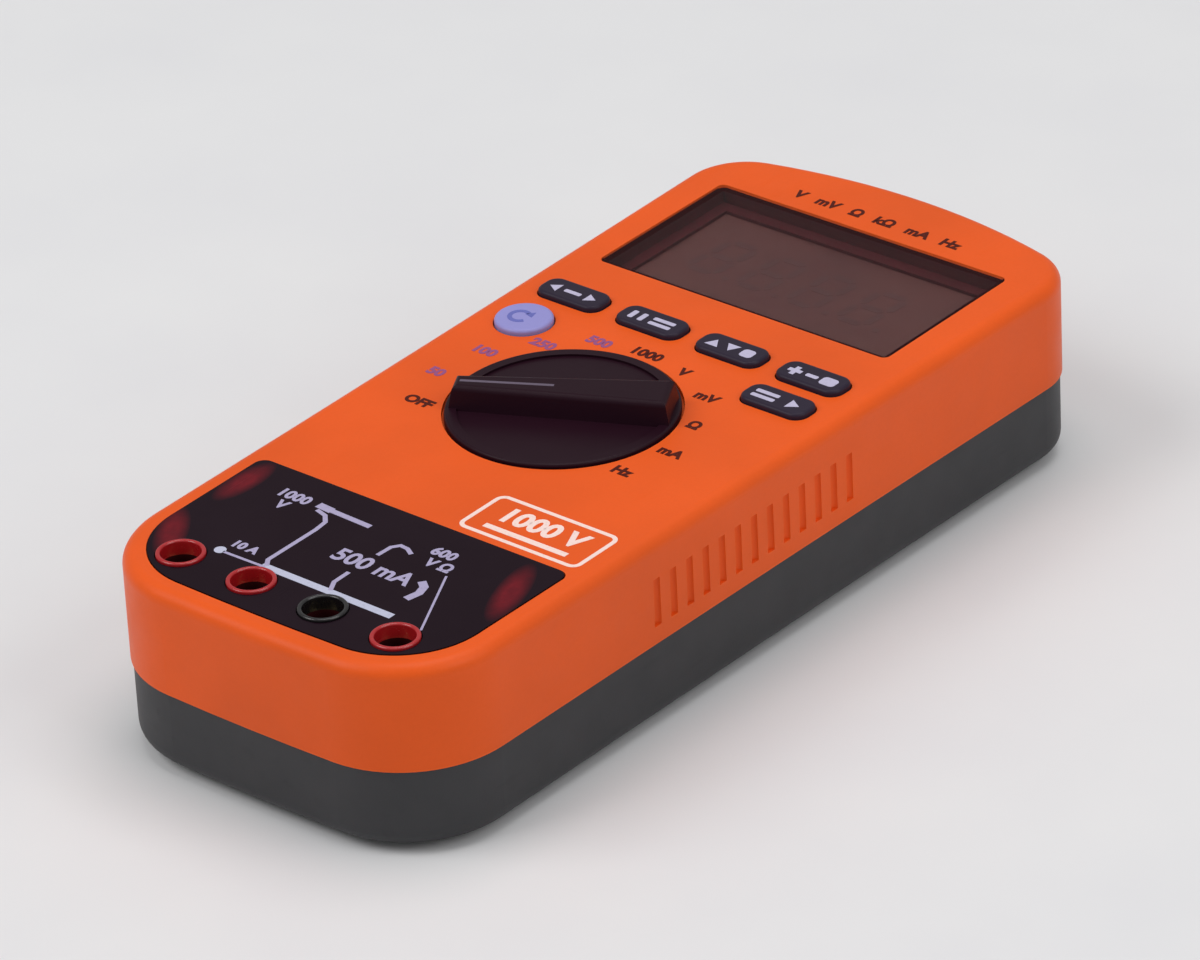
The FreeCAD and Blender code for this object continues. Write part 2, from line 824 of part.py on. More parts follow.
def fuse_clip(x, y, z, r):
    """Spring clip open downwards, its foot soldered to the board."""
    half = fuse_clip_w / 2
    outer = lying_cylinder(x - half, x + half, y, z, r + fuse_clip_t)
    foot = centred_box(x, y, fuse_clip_w, 2 * r, z + r * fuse_clip_shoulder, z_board_under)
    clip = outer.fuse(foot).cut(lying_cylinder(x - half, x + half, y, z, r))
    mouth = centred_box(x, y, fuse_clip_w, 4 * r, z - 2 * r, z - r * fuse_clip_mouth)
    return clip.cut(mouth).removeSplitter()


def make_transformer():
    """High-voltage transformer: ferrite core round a wound former."""
    x, y = transformer_x, y_head - transformer_from_head
    leg = transformer_leg
    z_low = z_board_under - transformer_h
    core = under_board(x, y, transformer_w, transformer_d, transformer_h)
    window_w = transformer_w - 2 * leg
    core = core.cut(centred_box(x, y, window_w, transformer_d, z_low + leg, z_board_under - leg))
    middle = centred_box(x, y, leg, transformer_d, z_low + leg, z_board_under - leg)
    save("transformer_core", core.fuse(middle).removeSplitter())
    gap = part_gap
    winding = centred_box(x, y, window_w - 2 * gap, transformer_d + leg,
                          z_low + leg + gap, z_board_under - leg - gap)
    save("transformer_coil", winding.cut(centred_box(x, y, leg + 2 * gap, transformer_d + leg,
                                                     z_low, z_board_under)))


def make_input_parts():
    """Protection parts on top of the board, between the sockets and the switch."""
    save("varistors", [on_board(x, y_foot + varistor_from_foot, varistor_w, varistor_d, varistor_h)
                       for x in row(varistor_count, varistor_pitch, varistor_x)])
    save("thermistors", [on_board(x, y_foot + thermistor_from_foot, thermistor_w, thermistor_d,
                                  thermistor_h)
                         for x in row(thermistor_count, thermistor_pitch, 0)])
    save("input_resistors", [lying_cylinder(resistor_x, resistor_x + resistor_length, y,
                                            z_board + resistor_r, resistor_r)
                             for y in row(resistor_count, resistor_pitch,
                                          y_foot + resistor_from_foot)])


def make_parts_below():
    """Parts soldered under the board."""
    save("relays", [under_board(x, y_head - relay_from_head, relay_w, relay_d, relay_h)
                    for x in row(relay_count, relay_pitch, relay_x)])
    save("main_chip", under_board(chip_x, y_head - chip_from_head, chip_w, chip_w, chip_h))
    save("small_chips", [under_board(small_chip_x, y, small_chip_w, small_chip_d, small_chip_h)
                         for y in row(small_chip_count, small_chip_pitch,
                                      y_head - small_chip_from_head)])
    save("filter_capacitors", [cylinder(x, y_head - capacitor_from_head, capacitor_r,
                                        z_board_under - capacitor_h, z_board_under)
                               for x in row(capacitor_count, capacitor_pitch, capacitor_x)])
    save("sounder", cylinder(sounder_x, y_head - sounder_from_head, sounder_r,
                             z_board_under - sounder_h, z_board_under))
    save("crystal", pill(crystal_x, y_head - crystal_from_head, crystal_w, crystal_d,
                         z_board_under - crystal_h, z_board_under))


# ---------------------------------------------------------------- rotary switch

def grip_bar():
    """Grip across the knob, narrower at the pointer end and drawn in towards its top."""
    length = 2 * (knob_r - bar_end_margin)
    height = z_bar - z_knob_under
    taper = height * math.tan(math.radians(bar_draft_deg))
    sections = []
    for z, shrink in ((z_knob_under, 0.0), (z_bar, taper)):
        tip = bar_tip_w / 2 - shrink
        tail = bar_tail_w / 2 - shrink
        half = length / 2 - shrink
        points = [(-half, -tail), (half, -tip), (half, tip), (-half, tail)]
        corners = [Vector(knob_x + x, knob_y + y, z) for x, y in points]
        sections.append(Part.makePolygon(corners + corners[:1]))
    bar = Part.makeLoft(sections, True, True)
    bar = bar.common(cylinder(knob_x, knob_y, knob_r - part_gap, z_knob_under, z_bar))
    return bar.makeFillet(bar_edge_r, edges_at(bar, z_bar))


def make_knob():
    disc = cylinder(knob_x, knob_y, knob_r, z_knob_under, z_knob)
    disc = disc.makeFillet(knob_edge_r, edges_at(disc, z_knob))
    scoop = cylinder(knob_x, knob_y, knob_r - scoop_rim, z_knob - scoop_depth, z_knob)
    shaft = cylinder(knob_x, knob_y, shaft_r, z_collar - part_gap, z_knob_under)
    drive = hexagon(drive_corner_r, z_rotor, z_collar - part_gap)
    knob = fuse_all([disc.cut(scoop), grip_bar(), shaft, drive])
    pilot_top = z_rotor + rotor_screw_length + pilot_spare
    knob = knob.cut(cylinder(knob_x, knob_y, rotor_screw_r + screw_gap, z_rotor, pilot_top))
    groove = pointer_bar(pointer_w, z_bar - pointer_t)
    save("rotary_knob", turned(knob.cut(groove), off_angle_deg))
    save("knob_pointer", turned(pointer_bar(pointer_w - fit_gap, z_bar - pointer_t), off_angle_deg))


def pointer_bar(width, z0):
    """Pointer inlay along +X from near the axis to the tip, flush with the bar's top."""
    tip = knob_r - bar_end_margin - bar_edge_r - pointer_end_margin
    return centred_box(knob_x + tip - pointer_length / 2, knob_y, pointer_length, width,
                       z0, z_bar)


def make_rotor():
    rotor_top = z_rotor + rotor_t
    rotor = cylinder(knob_x, knob_y, rotor_r, z_rotor, rotor_top)
    hub_top = z_collar - 2 * part_gap
    rotor = fuse_all([rotor, cylinder(knob_x, knob_y, rotor_hub_r, z_rotor, hub_top)])
    rotor = rotor.cut(hexagon(drive_corner_r + fit_gap, z_rotor, hub_top))
    ball_x = knob_x + detent_ring_r - detent_ball_gap - detent_ball_r
    z_ball = z_rotor + rotor_t / 2
    pocket_x = ball_x - detent_ball_r - detent_spring_length
    balls = []
    springs = []
    for side in (0, 180):
        pocket = Part.makeCylinder(detent_ball_r + fit_gap, rotor_r,
                                   Vector(pocket_x, knob_y, z_ball), X_AXIS)
        rotor = rotor.cut(turned(pocket, side))
        ball = Part.makeSphere(detent_ball_r, Vector(ball_x, knob_y, z_ball))
        balls.append(turned(ball, side + off_angle_deg))
        spring = coil(pocket_x + detent_wire_r, knob_y, z_ball, X_AXIS,
                      detent_ball_r - detent_wire_r - detent_coil_gap, detent_wire_r,
                      detent_spring_length - 2 * detent_wire_r, detent_spring_turns)
        springs.append(turned(spring, side + off_angle_deg))
    save("switch_rotor", turned(rotor, off_angle_deg))
    save("detent_balls", balls)
    save("detent_springs", springs)

    wipers = []
    for index, radius in enumerate(wiper_radii):
        angle = off_angle_deg + wiper_first_deg + index * wiper_step_deg
        wipers.append(turned(wiper(radius), angle))
    save("wiper_springs", wipers)
    save("rotor_screw", screw(knob_x, knob_y, z_rotor, rotor_screw_r, rotor_screw_length,
                              drive_corner_r + rotor_screw_lap, rotor_screw_head_h))


def wiper(radius):
    """Leaf spring under the rotor, bent down to the board's contact pads."""
    top = z_rotor
    low = z_board + slide_gap
    profile = [
        (0, top - wiper_t), (0, top), (wiper_root, top), (wiper_length, low + wiper_t),
        (wiper_length, low), (wiper_length - wiper_toe, low), (wiper_root, top - wiper_t),
    ]
    x = knob_x + radius - wiper_w / 2
    corners = [Vector(x, knob_y - wiper_length / 2 + y, z) for y, z in profile]
    return Part.Face(Part.makePolygon(corners + corners[:1])).extrude(Vector(wiper_w, 0, 0))


# ---------------------------------------------------------------- terminals

def block_prism(z0, z1):
    """Solid of the terminal block's outline, held clear of the case's walls."""
    solid = centred_box(0, socket_y, block_w, block_h, z0, z1)
    return solid.common(case_prism(wall + part_gap, z0, z1))


def make_terminals():
    """Panel with four sockets; each socket stands in a well, on one base plate."""
    panel = panel_outline(0, z_face - panel_t, z_face + panel_proud)
    block = block_prism(block_low, block_top)
    sockets = []
    collars = []
    collar_top = z_face + panel_proud + collar_ring_proud
    for x in socket_xs:
        panel = panel.cut(cylinder(x, socket_y, collar_ring_r + part_gap,
                                   z_face - panel_t, z_face + panel_proud))
        block = block.cut(cylinder(x, socket_y, well_r, block_low, block_top))
        sockets.append(tube(x, socket_y, socket_bore_r + socket_tube_t, socket_bore_r,
                            block_low, z_face - socket_top_sink))
        ring = tube(x, socket_y, collar_ring_r, well_r, block_top, collar_top)
        collars.append(ring.makeFillet(collar_edge_r, edges_at(ring, collar_top)))
    save("terminal_panel", panel)
    save("terminal_block", block)
    save("terminal_base", block_prism(block_low - block_floor_t, block_low))
    save("input_sockets", sockets)
    save("collar_black", collars.pop(common_socket))
    save("collars_red", collars)


# ---------------------------------------------------------------- battery bay

def contact_tab(x, gap):
    """Solder tab from a contact plate up to the board."""
    y = bay_y - bay_h / 2 + contact_t / 2
    return centred_box(x, y, contact_tab_w + 2 * gap, contact_t + 2 * gap,
                       z_bay_roof - contact_h / 2, z_board_under)


def battery_leaf(x, y, z, way, reach):
    """Bowed strip on a contact plate; its crown presses on the flat end of a cell."""
    bow = lying_cylinder(x - leaf_w / 2, x + leaf_w / 2, y, z, reach)
    bow = bow.cut(lying_cylinder(x - leaf_w / 2, x + leaf_w / 2, y, z, reach - contact_t))
    return bow.common(centred_box(x, y + way * reach / 2, leaf_w, reach, z - reach, z + reach))


def make_battery_bay():
    z_cell = z_bay + cell_r + part_gap / 2
    cells = []
    leaves = []
    inner_half = bay_h / 2 - contact_t
    for index, x in enumerate(cell_xs):
        way = 1 if index % 2 == 0 else -1
        direction = Y_AXIS * way
        nub_end = bay_y + way * inner_half
        cell_start = Vector(x, nub_end - way * (cell_length + cell_nub_h), z_cell)
        body = Part.makeCylinder(cell_r, cell_length, cell_start, direction)
        nub_start = cell_start + direction * cell_length
        nub = Part.makeCylinder(cell_nub_r, cell_nub_h, nub_start, direction)
        cells.append(body.fuse(nub).removeSplitter())
        plate_y = bay_y - way * inner_half
        reach = abs(cell_start.y - plate_y) - fit_gap
        leaves.append(battery_leaf(x, plate_y, z_cell, way, reach))
    save("batteries", cells)
    save("battery_springs", leaves)

    plates = []
    y_head_plate = bay_y + bay_h / 2 - contact_t / 2
    y_foot_plate = bay_y - bay_h / 2 + contact_t / 2
    spans = [(cell_xs[0], cell_xs[1], y_head_plate), (cell_xs[2], cell_xs[3], y_head_plate),
             (cell_xs[0], cell_xs[0], y_foot_plate), (cell_xs[1], cell_xs[2], y_foot_plate),
             (cell_xs[3], cell_xs[3], y_foot_plate)]
    for x_first, x_last, y in spans:
        width = x_last - x_first + contact_h
        plate = centred_box((x_first + x_last) / 2, y, width, contact_t,
                            z_cell - contact_h / 2, z_cell + contact_h / 2)
        if x_first == x_last:
            plate = fuse_all([plate, contact_tab(x_first, 0)])
        plates.append(plate)
    save("battery_plates", plates)

    cover = rounded_box(0, bay_y, cover_w, cover_h, z_back, z_back + cover_t, cover_corner_r)
    cover = cover.makeFillet(cover_edge_r, edges_at(cover, z_back))
    cover_screws = []
    z_seat = z_back + cover_screw_head_h
    for y in cover_screw_ys:
        cover = cover.cut(cylinder(0, y, cover_screw_r + screw_gap, z_back, z_back + cover_t))
        cover = cover.cut(cylinder(0, y, cover_screw_head_r + part_gap, z_back, z_seat))
        cover_screws.append(screw(0, y, z_seat, cover_screw_r, cover_screw_length,
                                  cover_screw_head_r, cover_screw_head_h))
    for y in row(cover_groove_count, cover_groove_pitch, bay_y):
        cover = cover.cut(centred_box(0, y, cover_groove_length, cover_groove_w,
                                      z_back, z_back + cover_groove_depth))
    save("battery_cover", cover)
    save("cover_screws", cover_screws)


# ---------------------------------------------------------------- back of the case

def make_tilt_stand():
    plate = stand_plate(0, stand_hinge_y, z_back, z_back + stand_t)
    rim = [edge for edge in edges_at(plate, z_back) if edge.CenterOfMass.y < stand_hinge_y - 1]
    plate = plate.makeFillet(stand_edge_r, rim)
    barrel = Part.makeCylinder(stand_barrel_r, stand_w,
                               Vector(-stand_w / 2, stand_hinge_y, z_stand_axis), X_AXIS)
    pin_reach = stand_w / 2 + stand_pin_length
    pin = Part.makeCylinder(stand_pin_r, 2 * pin_reach,
                            Vector(-pin_reach, stand_hinge_y, z_stand_axis), X_AXIS)
    stand = fuse_all([plate, barrel, pin])
    stand = stand.cut(finger_scoop())
    for x in row(rib_groove_count, rib_groove_pitch, 0):
        stand = stand.cut(box(x - rib_groove_w / 2, x + rib_groove_w / 2,
                              stand_foot_y + rib_groove_start, stand_hinge_y - rib_groove_end,
                              z_back, z_back + rib_groove_depth))
    return stand


def make_fasteners():
    z_seat = z_back + case_screw_seat
    save("casing_screws", [screw(x, y, z_seat, case_screw_r, case_screw_length,
                                 case_screw_head_r, case_screw_head_h)
                           for x, y in case_screw_points])
    save("board_screws", [screw(x, y, z_board_under, board_screw_r, board_screw_length,
                                board_screw_head_r, board_screw_head_h)
                          for x, y in board_screw_points])


def make_rubber_feet():
    feet = []
    for x, y in rubber_foot_points:
        foot = cylinder(x, y, rubber_foot_r, 0, z_back + rubber_foot_sink)
        feet.append(foot.makeFillet(rubber_foot_edge_r, edges_at(foot, 0)))
    return feet


# ---------------------------------------------------------------- build

os.makedirs("parts", exist_ok=True)
save("front_casing", make_front_casing())
save("rear_casing", make_rear_casing())
save("case_seal", make_case_seal())
make_display()
save("main_board", make_main_board())
make_buttons()
make_fuses()
make_transformer()
make_input_parts()
make_parts_below()
save("detent_ring", make_detent_ring())
make_knob()
make_rotor()
make_terminals()
make_battery_bay()
save("tilt_stand", make_tilt_stand())
make_fasteners()
save("rubber_feet", make_rubber_feet())
save("rear_label", centred_box(0, y_head - label_from_head, label_w, label_h, z_back - label_t, z_back))
print(len(part_files), "nodes")
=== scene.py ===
import json
import math

import bmesh
import bpy
from mathutils import Matrix, Vector


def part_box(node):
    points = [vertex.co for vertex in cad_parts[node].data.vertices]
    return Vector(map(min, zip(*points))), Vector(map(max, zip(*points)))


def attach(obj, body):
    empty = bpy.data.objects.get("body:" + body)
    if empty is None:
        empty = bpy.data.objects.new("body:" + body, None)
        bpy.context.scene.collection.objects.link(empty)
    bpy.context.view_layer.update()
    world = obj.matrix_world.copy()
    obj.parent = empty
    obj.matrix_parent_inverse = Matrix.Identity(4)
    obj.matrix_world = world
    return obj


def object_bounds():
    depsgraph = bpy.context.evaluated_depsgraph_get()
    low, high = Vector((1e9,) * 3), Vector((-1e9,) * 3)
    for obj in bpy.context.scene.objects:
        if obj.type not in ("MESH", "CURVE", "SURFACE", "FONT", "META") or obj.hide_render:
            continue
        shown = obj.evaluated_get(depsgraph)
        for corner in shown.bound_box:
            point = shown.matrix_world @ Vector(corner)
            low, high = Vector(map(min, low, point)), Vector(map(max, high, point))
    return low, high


# Looks of a hand-held insulation tester that lies on its back. Metres, in the CAD model's frame:
# +Z out of the face, +Y towards the display end, +X to the right of the face.

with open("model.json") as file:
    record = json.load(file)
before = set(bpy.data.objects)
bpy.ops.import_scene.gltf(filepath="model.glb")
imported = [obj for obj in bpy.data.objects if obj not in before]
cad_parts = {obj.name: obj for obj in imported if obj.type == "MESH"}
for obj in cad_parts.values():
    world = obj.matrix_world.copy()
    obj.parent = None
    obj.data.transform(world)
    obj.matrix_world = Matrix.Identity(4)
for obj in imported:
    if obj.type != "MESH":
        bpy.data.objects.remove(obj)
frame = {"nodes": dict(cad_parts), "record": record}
CAD_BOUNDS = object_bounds()

MM = 0.001
PRINT = 0.05 * MM           # thickness of ink on a surface
FONT_CAP = 0.70             # cap height of the font, as a share of its size
LETTER_STEPS = 4            # straight steps in each curve of a letter

# ---------------------------------------------------------------- places taken from the frame

PANEL_PROUD = 0.2 * MM      # how far the terminal panel stands above the face
PANEL_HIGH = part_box("terminal_panel")[1]
FACE_Z = PANEL_HIGH.z - PANEL_PROUD
LCD_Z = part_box("lcd_glass")[1].z
WINDOW_LOW, WINDOW_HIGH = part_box("display_window")
WINDOW_CENTRE = (WINDOW_LOW + WINDOW_HIGH) / 2
KNOB_LOW, KNOB_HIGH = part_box("rotary_knob")
KNOB_CENTRE = (KNOB_LOW + KNOB_HIGH) / 2
KNOB_R = (KNOB_HIGH.x - KNOB_LOW.x) / 2
POINTER_LOW, POINTER_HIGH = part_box("knob_pointer")
POINTER_CENTRE = (POINTER_LOW + POINTER_HIGH) / 2
OFF_ANGLE = math.atan2(POINTER_CENTRE.y - KNOB_CENTRE.y, POINTER_CENTRE.x - KNOB_CENTRE.x)
KNOB_RANGE = next(-math.radians(joint["range_deg"][0])
                  for joint in frame["record"]["behaviour"]["joints"]
                  if joint["name"] == "knob_turn")


def panel_point(x_mm, down_mm):
    """Point on the panel: across from its middle, and down from its top edge."""
    return (x_mm * MM, PANEL_HIGH.y - down_mm * MM)


# ---------------------------------------------------------------- colour and node helpers

def srgb(red, green, blue):
    """Linear colour of an sRGB colour given in 0 to 255."""
    linear = []
    for value in (red, green, blue):
        share = value / 255
        linear.append(share / 12.92 if share <= 0.04045 else ((share + 0.055) / 1.055) ** 2.4)
    return (*linear, 1.0)


TALL = 1000.0               # metres, past any height on the part


class Finish:
    """One Principled material, with short ways to add nodes to it."""

    def __init__(self, name, **sockets):
        self.material = bpy.data.materials.new(name)
        self.material.use_nodes = True
        self.tree = self.material.node_tree
        self.shader = self.tree.nodes["Principled BSDF"]
        self.coordinates = self.add("ShaderNodeTexCoord").outputs["Object"]
        for socket, value in sockets.items():
            self.shader.inputs[socket.replace("_", " ")].default_value = value

    def add(self, kind, inputs=None, **settings):
        """New node, with its inputs linked or set, and its own settings."""
        node = self.tree.nodes.new(kind)
        for name, value in settings.items():
            setattr(node, name, value)
        for name, value in (inputs or {}).items():
            if isinstance(value, bpy.types.NodeSocket):
                self.tree.links.new(value, node.inputs[name])
            else:
                node.inputs[name].default_value = value
        return node

    def feed(self, socket, value):
        """Link a value into the shader."""
        self.tree.links.new(value, self.shader.inputs[socket])

    def stretched(self, x, y, z):
        """Object coordinates scaled on each axis, for streaks and brushed grain."""
        return self.add("ShaderNodeMapping", {
            "Vector": self.coordinates, "Scale": (x, y, z),
        }).outputs[0]

    def noise(self, size_mm, detail, coordinates=None):
        return self.add("ShaderNodeTexNoise", {
            "Vector": coordinates or self.coordinates, "Scale": 1 / (size_mm * MM), "Detail": detail,
        }).outputs["Fac"]

    def cells(self, size_mm):
        return self.add("ShaderNodeTexVoronoi", {
            "Vector": self.coordinates, "Scale": 1 / (size_mm * MM),
        }, feature="F1").outputs["Distance"]

    def remap(self, value, low, high, to_low=0.0, to_high=1.0):
        return self.add("ShaderNodeMapRange", {
            "Value": value, "From Min": low, "From Max": high, "To Min": to_low, "To Max": to_high,
        }).outputs["Result"]

    def maths(self, operation, a, b):
        return self.add("ShaderNodeMath", {0: a, 1: b}, operation=operation).outputs[0]

    def mix(self, factor, colour_a, colour_b):
        """Colour between two colours; the colour sockets of a Mix node are its 6 and 7."""
        return self.add("ShaderNodeMix", {0: factor, 6: colour_a, 7: colour_b},
                        data_type="RGBA").outputs[2]

    def patch(self, x, y, half_length, half_width, angle):
        """Mask of a soft oval about (x, y), along an angle: 1 in its middle, 0 past its rim.

        The oval is so tall that height makes no difference.
        """
        local = self.add("ShaderNodeMapping", {
            "Vector": self.coordinates, "Location": (x, y, 0.0),
            "Rotation": (0.0, 0.0, math.radians(angle)), "Scale": (half_length, half_width, TALL),
        }, vector_type="TEXTURE").outputs[0]
        away = self.add("ShaderNodeVectorMath", {0: local}, operation="LENGTH").outputs["Value"]
        return self.remap(away, 1.0, 0.35)

    def edges(self, radius_mm, low, high):
        """Mask that is 1 on edges and 0 on flat ground, from how far a rounded normal turns."""
        soft = self.add("ShaderNodeBevel", {"Radius": radius_mm * MM}, samples=6).outputs[0]
        true = self.add("ShaderNodeNewGeometry").outputs["Normal"]
        dot = self.add("ShaderNodeVectorMath", {0: soft, 1: true},
                       operation="DOT_PRODUCT").outputs["Value"]
        return self.remap(dot, high, low)

    def cloud(self):
        """Faint slow mottle, from none to a sixth."""
        return self.remap(self.noise(18, 3), 0.35, 0.75, 0.0, 0.16)

    def polish(self, roughness, scratched):
        """Smooth skin of polished plastic: hairline scratches and shallow flow marks."""
        hairs = self.remap(self.noise(1.1, 3, self.stretched(1.0, 0.05, 1.0)), 0.62, 0.72)
        self.feed("Roughness", self.remap(hairs, 0, 1, roughness, scratched))
        self.bump((self.noise(7, 2), 0.012), (self.noise(0.6, 1), 0.0012))

    def bump(self, *layers):
        """Bump from (height, depth in mm) layers, added one on another."""
        normal = None
        for height, depth_mm in layers:
            inputs = {"Height": height, "Distance": depth_mm * MM, "Strength": 1.0}
            if normal is not None:
                inputs["Normal"] = normal
            normal = self.add("ShaderNodeBump", inputs).outputs["Normal"]
        self.feed("Normal", normal)


def moulded(name, colour, roughness, grain_mm=0.35, grain_depth=0.012, wear=0.25, **sockets):
    """Moulded plastic: eroded grain, slow colour drift, scuffs, and edges rubbed a little paler."""
    finish = Finish(name, **sockets)
    base = srgb(*colour)
    pale = srgb(*[min(255, value * 1.10 + 14) for value in colour])
    deep = srgb(*[value * 0.88 for value in colour])
    slow = finish.remap(finish.noise(34, 3), 0.3, 0.7)
    tone = finish.mix(finish.maths("MULTIPLY", slow, 0.5), base, deep)
    fine = finish.remap(finish.noise(0.9, 2), 0.35, 0.75)
    tone = finish.mix(finish.maths("MULTIPLY", fine, 0.10), tone, deep)
    patches = finish.remap(finish.noise(6, 4), 0.42, 0.62)
    rubbed = finish.maths("MULTIPLY", finish.edges(0.7, 0.90, 0.995), patches)
    tone = finish.mix(finish.maths("MULTIPLY", rubbed, wear), tone, pale)
    finish.feed("Base Color", tone)
    scuffs = finish.remap(finish.noise(3.0, 5, finish.stretched(1.0, 0.18, 1.0)), 0.60, 0.74)
    rough = finish.remap(finish.noise(9, 3), 0.25, 0.75, roughness - 0.05, roughness + 0.05)
    finish.feed("Roughness", finish.maths("ADD", rough, finish.maths("MULTIPLY", scuffs, 0.06)))
    grain = finish.noise(grain_mm, 3)
    finish.bump((grain, grain_depth), (finish.noise(14, 1), 0.02))
    return finish.material


def glossy(name, colour, roughness=0.12, coat=0.5):
    """Polished plastic: faint flow marks, dust specks and hairline scratches."""
    finish = Finish(name, Coat_Weight=coat, Coat_Roughness=0.06)
    base = srgb(*colour)
    dusty = srgb(*[min(255, value + 34) for value in colour])
    specks = finish.remap(finish.cells(1.7), 0.10, 0.04)
    sparse = finish.remap(finish.noise(5, 2), 0.56, 0.60)
    dust = finish.maths("MULTIPLY", finish.maths("MULTIPLY", specks, sparse), 0.5)
    marks = finish.maths("MAXIMUM", dust, finish.cloud())
    finish.feed("Base Color", finish.mix(marks, base, dusty))
    finish.polish(roughness, roughness + 0.14)
    return finish.material


# Painted reflections of the orange rim in the terminal panel, laid as dark red stripes, in
# millimetres:
# across from its middle, down from its top edge, half their length, and the angle they lie at in
# degrees.
PAINTED_REFLECTION_BANDS = ((-37.6, 9.5, 9.5, 90), (-36.0, 33.5, 11.0, -58), (36.2, 12.5, 12.0, -71))
PAINTED_REFLECTION_HALF_WIDTH = 3.6 * MM


def panel_face(name, colour, red):
    """Polished terminal panel with painted reflections of the orange rim: soft dark red stripes near
    three of its corners.
    """
    finish = Finish(name, Coat_Weight=0.05, Coat_Roughness=0.1, Specular_IOR_Level=0.06)
    reflection_mask = None
    for x, down, half_length, angle in PAINTED_REFLECTION_BANDS:
        reflection_patch = finish.patch(*panel_point(x, down), half_length * MM, PAINTED_REFLECTION_HALF_WIDTH, angle)
        reflection_mask = reflection_patch if reflection_mask is None else finish.maths("MAXIMUM", reflection_mask, reflection_patch)
    paler = srgb(*[value + 20 for value in colour])
    ground = finish.mix(finish.cloud(), srgb(*colour), paler)
    streaky = finish.remap(finish.noise(2.5, 3), 0.3, 0.7, 0.7, 1.0)
    reflection_strength = finish.maths("MULTIPLY", reflection_mask, streaky)
    # Painted reflection: the red colour stands for the orange rim mirrored in the panel, mixed in
    # along the stripes.
    finish.feed("Base Color", finish.mix(reflection_strength, ground, srgb(*red)))
    finish.polish(0.20, 0.34)
    return finish.material


def metal(name, colour, roughness, brushed=(1.0, 1.0, 1.0), tarnish=(120, 105, 85)):
    """Plated or turned metal with fine tool lines and a breath of tarnish."""
    finish = Finish(name, Metallic=1.0)
    stains = finish.remap(finish.noise(2.6, 4), 0.5, 0.8, 0.0, 0.4)
    finish.feed("Base Color", finish.mix(stains, srgb(*colour), srgb(*tarnish)))
    lines = finish.noise(0.25, 3, finish.stretched(*brushed))
    finish.feed("Roughness", finish.remap(lines, 0.3, 0.7, roughness - 0.08, roughness + 0.10))
    finish.bump((lines, 0.003))
    return finish.material


def rubber(name, colour):
    """Soft rubber: matt, finely pebbled, a little dusty in random patches."""
    finish = Finish(name, Sheen_Weight=0.15, Sheen_Roughness=0.4)
    dust = finish.remap(finish.noise(3, 5), 0.5, 0.8, 0.0, 0.35)
    grey = srgb(*[value + 40 for value in colour])
    finish.feed("Base Color", finish.mix(dust, srgb(*colour), grey))
    finish.feed("Roughness", finish.remap(finish.noise(2, 2), 0.3, 0.7, 0.72, 0.88))
    finish.bump((finish.cells(0.5), 0.02))
    return finish.material


def ink(name, colour, wear=0.35):
    """Pad-printed ink: matt, and a little darker where it has worn thin."""
    finish = Finish(name, Specular_IOR_Level=0.15)
    thin = finish.remap(finish.noise(0.8, 4), 0.52, 0.75, 0.0, wear)
    worn = srgb(*[value * 0.82 for value in colour])
    finish.feed("Base Color", finish.mix(thin, srgb(*colour), worn))
    finish.feed("Roughness", finish.remap(finish.noise(2, 2), 0.3, 0.7, 0.39, 0.51))
    finish.bump((finish.noise(0.3, 2), 0.004))
    return finish.material


def clear_window(name):
    """Clear plastic that lets lamps through, with hairline scratches."""
    finish = Finish(name, Transmission_Weight=1.0, IOR=1.12,
                    Base_Color=(0.95, 0.95, 0.95, 1.0))
    hairs = finish.remap(finish.noise(1.3, 3, finish.stretched(0.06, 1.0, 1.0)), 0.64, 0.72)
    finish.feed("Roughness", finish.remap(hairs, 0, 1, 0.015, 0.10))
    finish.bump((finish.noise(16, 1), 0.01))
    clear = finish.add("ShaderNodeBsdfTransparent", {"Color": (0.93, 0.93, 0.93, 1.0)})
    lamp_ray = finish.add("ShaderNodeLightPath").outputs["Is Shadow Ray"]
    both = finish.add("ShaderNodeMixShader", {
        0: lamp_ray, 1: finish.shader.outputs[0], 2: clear.outputs[0],
    })
    output = finish.tree.nodes["Material Output"]
    finish.tree.links.new(both.outputs[0], output.inputs["Surface"])
    return finish.material


def lcd_face(name):
    """Unlit liquid crystal: brown-grey polariser with a slow mottle and a satin skin."""
    finish = Finish(name, Specular_IOR_Level=0.12)
    cloud = finish.remap(finish.noise(26, 3), 0.3, 0.7)
    tone = finish.mix(cloud, srgb(72, 40, 38), srgb(65, 35, 35))
    fine = finish.remap(finish.noise(0.35, 2), 0.3, 0.7, 0.0, 0.12)
    finish.feed("Base Color", finish.mix(fine, tone, srgb(94, 67, 62)))
    finish.feed("Roughness", finish.remap(finish.noise(5, 3), 0.3, 0.7, 0.32, 0.42))
    finish.bump((finish.noise(0.3, 2), 0.002))
    return finish.material


def board_lacquer(name, colour):
    """Circuit board under solder resist, with the faint steps of its tracks."""
    finish = Finish(name, Coat_Weight=0.3)
    brick = finish.add("ShaderNodeTexBrick", {
        "Vector": finish.coordinates, "Scale": 260.0, "Mortar Size": 0.12,
        "Color1": srgb(*colour), "Color2": srgb(*[value * 0.9 for value in colour]),
        "Mortar": srgb(*[min(255, value * 1.5) for value in colour]),
    })
    finish.feed("Base Color", brick.outputs["Color"])
    finish.feed("Roughness", finish.remap(finish.noise(2, 2), 0.3, 0.7, 0.25, 0.4))
    finish.bump((brick.outputs["Fac"], 0.03))
    return finish.material


# ---------------------------------------------------------------- mesh helpers

BAR_ROUNDING = 0.3          # corner radius of a bar, as a share of its shorter side
TRIANGLE_BACK = 0.6         # from a triangle's middle to its base, as a share of its size
SHARPEST_MITRE = 0.4        # least cosine of half a turn that a mitre follows before it is cut short


